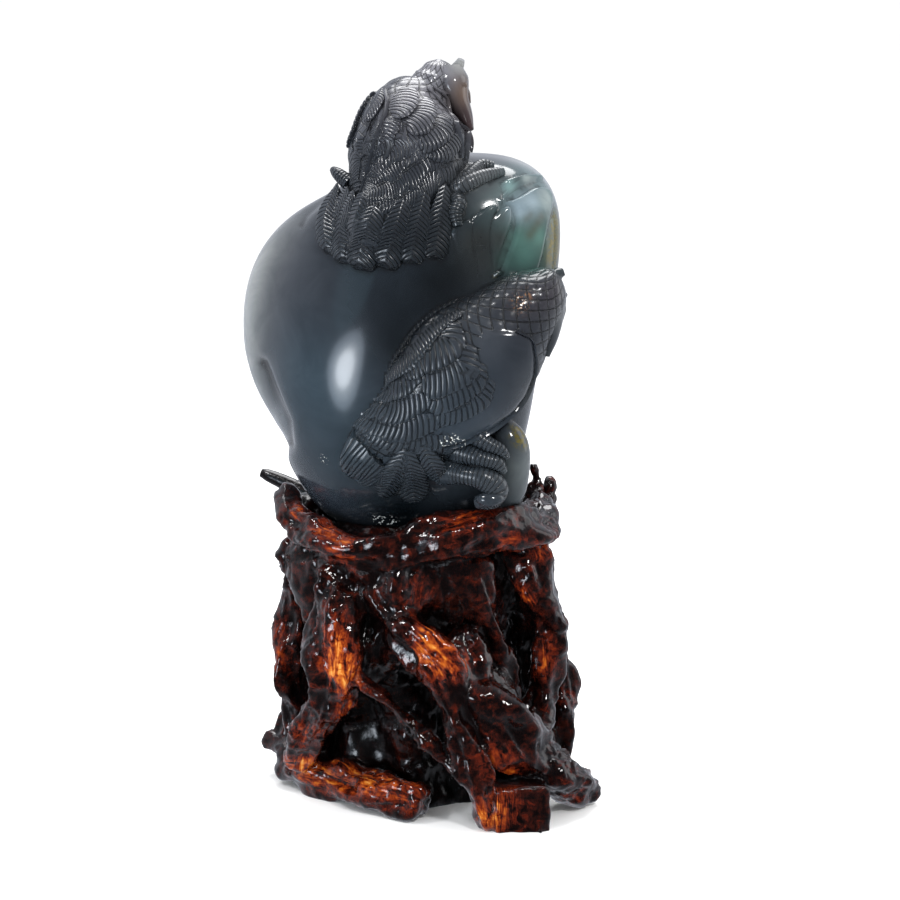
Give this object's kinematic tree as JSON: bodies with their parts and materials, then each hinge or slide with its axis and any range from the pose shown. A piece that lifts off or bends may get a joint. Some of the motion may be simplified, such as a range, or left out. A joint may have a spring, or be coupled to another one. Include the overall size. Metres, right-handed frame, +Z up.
{
  "type": "agate owl carving",
  "caption": "Polished agate boulder carved with owls, one on its top and one on its side, resting in a lacquered root-wood stand.",
  "frame": {"origin": "middle of the stand's underside, on the surface it stands on", "axes": "+Z up, -Y towards the side that shows both owls, +X towards the owls' faces"},
  "size_m": [0.1294, 0.101, 0.2699],
  "materials": {
    "agate": "carved and polished dark grey-blue agate",
    "root_wood": "gnarled root wood under thick dark glossy lacquer"
  },
  "bodies": {
    "root": {"agate_carving": "agate", "root_stand": "root_wood"}
  },
  "joints": []
}
